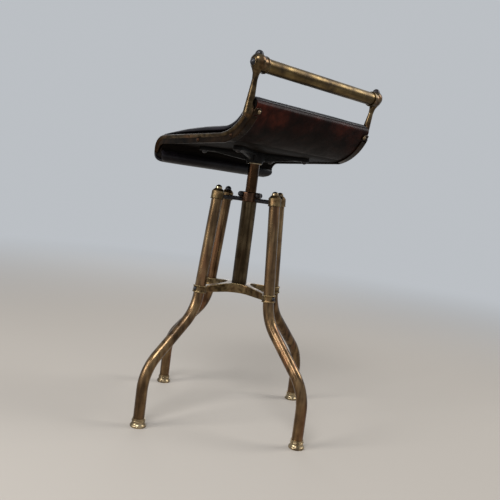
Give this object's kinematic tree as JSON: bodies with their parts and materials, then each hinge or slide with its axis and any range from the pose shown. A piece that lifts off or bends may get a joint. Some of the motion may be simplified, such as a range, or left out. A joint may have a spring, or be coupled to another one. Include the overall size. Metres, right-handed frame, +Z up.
{
  "type": "stool",
  "caption": "Musician's stool with a padded waterfall seat between cast side brackets, a back rail, bent tube legs and a clamped, swivelling rising post.",
  "frame": {"origin": "on the floor, on the axis of the rising post, which is the middle of the square of the feet", "axes": "+Z up, the seat faces -Y, the back rail is at +Y, +X is the sitter's left"},
  "size_m": [0.4544, 0.4544, 0.6993],
  "materials": {
    "leg_brass": "aged satin",
    "cast_brass": "aged satin",
    "bright_brass": "worn polished",
    "dark_brass": "dark patina",
    "dark_steel": "blackened",
    "black_iron": "black",
    "dark_plywood": "dark stained",
    "oxblood_leather": "worn gloss",
    "black_leather": "worn gloss"
  },
  "bodies": {
    "base": {"leg_left": "leg_brass", "leg_back": "leg_brass", "leg_right": "leg_brass", "leg_front": "leg_brass", "foot_left": "bright_brass", "foot_back": "bright_brass", "foot_right": "bright_brass", "foot_front": "bright_brass", "lower_spider": "cast_brass", "collar_screws": "dark_steel", "centre_tube": "dark_brass", "clamp_head": "dark_brass", "clamp_screws": "dark_steel", "stay_rods": "dark_steel", "cap_left": "cast_brass", "cap_back": "cast_brass", "cap_right": "cast_brass", "cap_front": "cast_brass", "dome_nuts": "dark_steel"},
    "post": {"post": "dark_brass", "post_bush": "bright_brass", "thrust_washer": "bright_brass", "pivot_nut": "dark_steel"},
    "seat": {"seat_spider": "black_iron", "spider_bolts": "dark_steel", "seat_shell": "dark_plywood", "back_facing": "oxblood_leather", "seat_pad": "black_leather", "bracket_left": "cast_brass", "bracket_right": "cast_brass", "bracket_screws": "dark_brass", "lug_screws": "bright_brass", "back_rail": "leg_brass", "rail_plugs": "dark_steel", "rail_screws": "dark_steel", "ball_nuts": "dark_steel"}
  },
  "joints": [
    {"name": "height", "type": "slide", "parent": "base", "child": "post", "axis": [0, 0, 1], "range_m": [-0.055, 0.06]},
    {"name": "swivel", "type": "hinge", "parent": "post", "child": "seat", "pos_m": [0, 0, 0.52], "axis": [0, 0, 1], "continuous": true}
  ]
}
